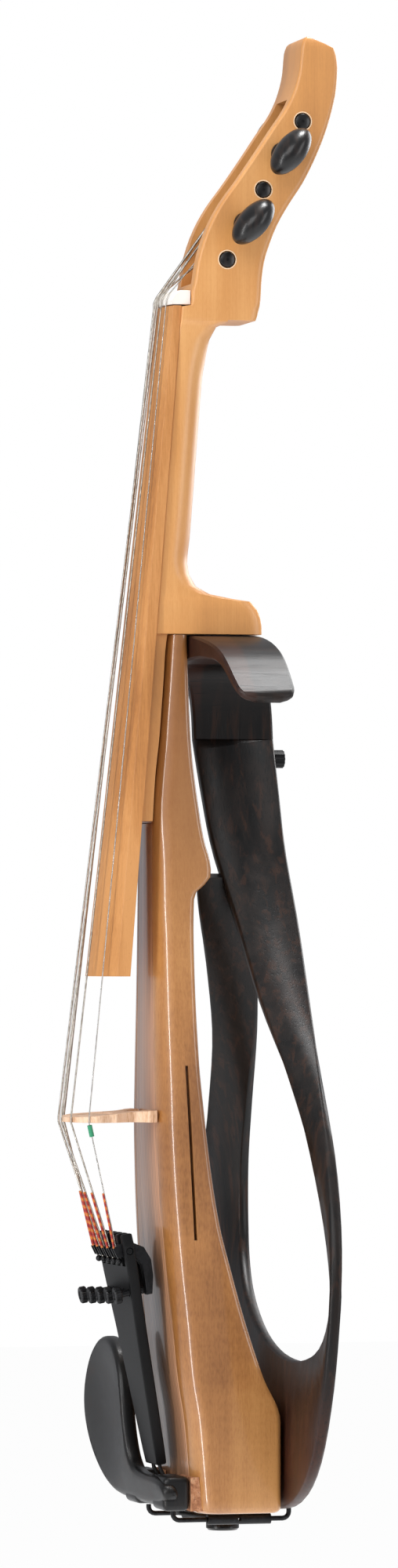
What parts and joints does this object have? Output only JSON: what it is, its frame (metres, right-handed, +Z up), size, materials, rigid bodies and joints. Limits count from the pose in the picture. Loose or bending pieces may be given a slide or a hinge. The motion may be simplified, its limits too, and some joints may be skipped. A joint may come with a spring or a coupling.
{
  "type": "electric violin",
  "caption": "Slim electric violin with a scroll-less head, a twisted ribbon frame behind the body, a chin rest and fine tuners.",
  "frame": {"origin": "centre of the end button's flat outer face, the lowest point of the standing instrument", "axes": "+Z up the instrument from the end button to the head, -X towards the strings and the bow, +X to the back, -Y the treble side, +Y the bass side"},
  "size_m": [0.1112, 0.1998, 0.5965],
  "materials": {
    "maple": "satin lacquered maple",
    "body_maple": "high-gloss golden brown lacquer over maple",
    "board_wood": "oiled amber wood",
    "spruce": "glossy lacquer over spruce",
    "dark_walnut": "dark satin walnut, red-brown at the bouts",
    "ebony": "polished ebony",
    "bridge_maple": "bare maple",
    "bone_white": "white",
    "black_plastic": "black",
    "steel": "bright",
    "black_metal": "black",
    "cork": "cork",
    "cord": "black",
    "sleeve": "green",
    "ceramic": "grey"
  },
  "bodies": {
    "instrument": {"body": "body_maple", "top_plate": "spruce", "pickup": "ceramic", "neck": "maple", "fingerboard": "board_wood", "nut": "bone_white", "bridge": "bridge_maple", "tailpiece": "black_plastic", "tuner_axle": "steel", "string_e": "steel", "string_a": "steel", "string_d": "steel", "string_g": "steel", "string_c": "steel", "string_sleeve": "sleeve", "end_button": "ebony", "saddle": "ebony", "tail_cord": "cord", "chin_rest": "ebony", "chin_rest_cork_treble": "cork", "chin_rest_cork_bass": "cork", "clamp_front_hook_treble": "black_metal", "clamp_back_hook_treble": "black_metal", "clamp_front_hook_bass": "black_metal", "clamp_back_hook_bass": "black_metal", "ribbon_frame": "dark_walnut", "shoulder_arch": "dark_walnut", "volume_housing": "black_plastic", "output_jack": "steel"},
    "peg_e": {"peg_e": "ebony"},
    "peg_a": {"peg_a": "ebony"},
    "peg_d": {"peg_d": "ebony"},
    "peg_g": {"peg_g": "ebony"},
    "peg_c": {"peg_c": "ebony"},
    "tuner_screw_e": {"tuner_screw_e": "black_metal"},
    "tuner_lever_e": {"tuner_lever_e": "black_metal"},
    "tuner_screw_a": {"tuner_screw_a": "black_metal"},
    "tuner_lever_a": {"tuner_lever_a": "black_metal"},
    "tuner_screw_d": {"tuner_screw_d": "black_metal"},
    "tuner_lever_d": {"tuner_lever_d": "black_metal"},
    "tuner_screw_g": {"tuner_screw_g": "black_metal"},
    "tuner_lever_g": {"tuner_lever_g": "black_metal"},
    "tuner_screw_c": {"tuner_screw_c": "black_metal"},
    "tuner_lever_c": {"tuner_lever_c": "black_metal"},
    "volume_knob": {"volume_knob": "black_plastic"},
    "clamp_barrel_treble": {"clamp_barrel_treble": "black_metal"},
    "clamp_barrel_bass": {"clamp_barrel_bass": "black_metal"}
  },
  "joints": [
    {"name": "peg_e_turn", "type": "hinge", "parent": "instrument", "child": "peg_e", "pos_m": [0.0054, 0, 0.52055], "axis": [0, 1, 0], "continuous": true},
    {"name": "peg_a_turn", "type": "hinge", "parent": "instrument", "child": "peg_a", "pos_m": [0.02088, 0, 0.54887], "axis": [0, 1, 0], "continuous": true},
    {"name": "peg_d_turn", "type": "hinge", "parent": "instrument", "child": "peg_d", "pos_m": [0.0131, 0, 0.53476], "axis": [0, 1, 0], "continuous": true},
    {"name": "peg_g_turn", "type": "hinge", "parent": "instrument", "child": "peg_g", "pos_m": [-0.0018, 0, 0.50655], "axis": [0, 1, 0], "continuous": true},
    {"name": "peg_c_turn", "type": "hinge", "parent": "instrument", "child": "peg_c", "pos_m": [0.02939, 0, 0.56243], "axis": [0, 1, 0], "continuous": true},
    {"name": "tuner_screw_e_turn", "type": "hinge", "parent": "instrument", "child": "tuner_screw_e", "pos_m": [-0.04051, -0.016, 0.09627], "axis": [0.9826, 0, 0.1859], "range_deg": [0, 1080]},
    {"name": "tuner_lever_e_tilt", "type": "hinge", "parent": "instrument", "child": "tuner_lever_e", "pos_m": [-0.04357, -0.016, 0.11248], "axis": [0, 1, 0], "range_deg": [-4.4, 0]},
    {"name": "tuner_screw_a_turn", "type": "hinge", "parent": "instrument", "child": "tuner_screw_a", "pos_m": [-0.04051, -0.008, 0.09627], "axis": [0.9826, 0, 0.1859], "range_deg": [0, 1080]},
    {"name": "tuner_lever_a_tilt", "type": "hinge", "parent": "instrument", "child": "tuner_lever_a", "pos_m": [-0.04357, -0.008, 0.11248], "axis": [0, 1, 0], "range_deg": [-4.4, 0]},
    {"name": "tuner_screw_d_turn", "type": "hinge", "parent": "instrument", "child": "tuner_screw_d", "pos_m": [-0.04051, 0, 0.09627], "axis": [0.9826, 0, 0.1859], "range_deg": [0, 1080]},
    {"name": "tuner_lever_d_tilt", "type": "hinge", "parent": "instrument", "child": "tuner_lever_d", "pos_m": [-0.04357, 0, 0.11248], "axis": [0, 1, 0], "range_deg": [-4.4, 0]},
    {"name": "tuner_screw_g_turn", "type": "hinge", "parent": "instrument", "child": "tuner_screw_g", "pos_m": [-0.04051, 0.008, 0.09627], "axis": [0.9826, 0, 0.1859], "range_deg": [0, 1080]},
    {"name": "tuner_lever_g_tilt", "type": "hinge", "parent": "instrument", "child": "tuner_lever_g", "pos_m": [-0.04357, 0.008, 0.11248], "axis": [0, 1, 0], "range_deg": [-4.4, 0]},
    {"name": "tuner_screw_c_turn", "type": "hinge", "parent": "instrument", "child": "tuner_screw_c", "pos_m": [-0.04051, 0.016, 0.09627], "axis": [0.9826, 0, 0.1859], "range_deg": [0, 1080]},
    {"name": "tuner_lever_c_tilt", "type": "hinge", "parent": "instrument", "child": "tuner_lever_c", "pos_m": [-0.04357, 0.016, 0.11248], "axis": [0, 1, 0], "range_deg": [-4.4, 0]},
    {"name": "volume_knob_turn", "type": "hinge", "parent": "instrument", "child": "volume_knob", "pos_m": [0.0305, 0.03271, 0.309], "axis": [1, 0, 0], "range_deg": [0, 270]},
    {"name": "clamp_barrel_treble_turn", "type": "hinge", "parent": "instrument", "child": "clamp_barrel_treble", "pos_m": [0.0015, -0.019, 0.0056], "axis": [1, 0, 0], "continuous": true},
    {"name": "clamp_barrel_bass_turn", "type": "hinge", "parent": "instrument", "child": "clamp_barrel_bass", "pos_m": [0.0015, 0.019, 0.0056], "axis": [1, 0, 0], "continuous": true}
  ],
  "couplings": [
    {"joint": "tuner_lever_e_tilt", "follows": "tuner_screw_e_turn", "ratio": -0.004},
    {"joint": "tuner_lever_a_tilt", "follows": "tuner_screw_a_turn", "ratio": -0.004},
    {"joint": "tuner_lever_d_tilt", "follows": "tuner_screw_d_turn", "ratio": -0.004},
    {"joint": "tuner_lever_g_tilt", "follows": "tuner_screw_g_turn", "ratio": -0.004},
    {"joint": "tuner_lever_c_tilt", "follows": "tuner_screw_c_turn", "ratio": -0.004}
  ]
}
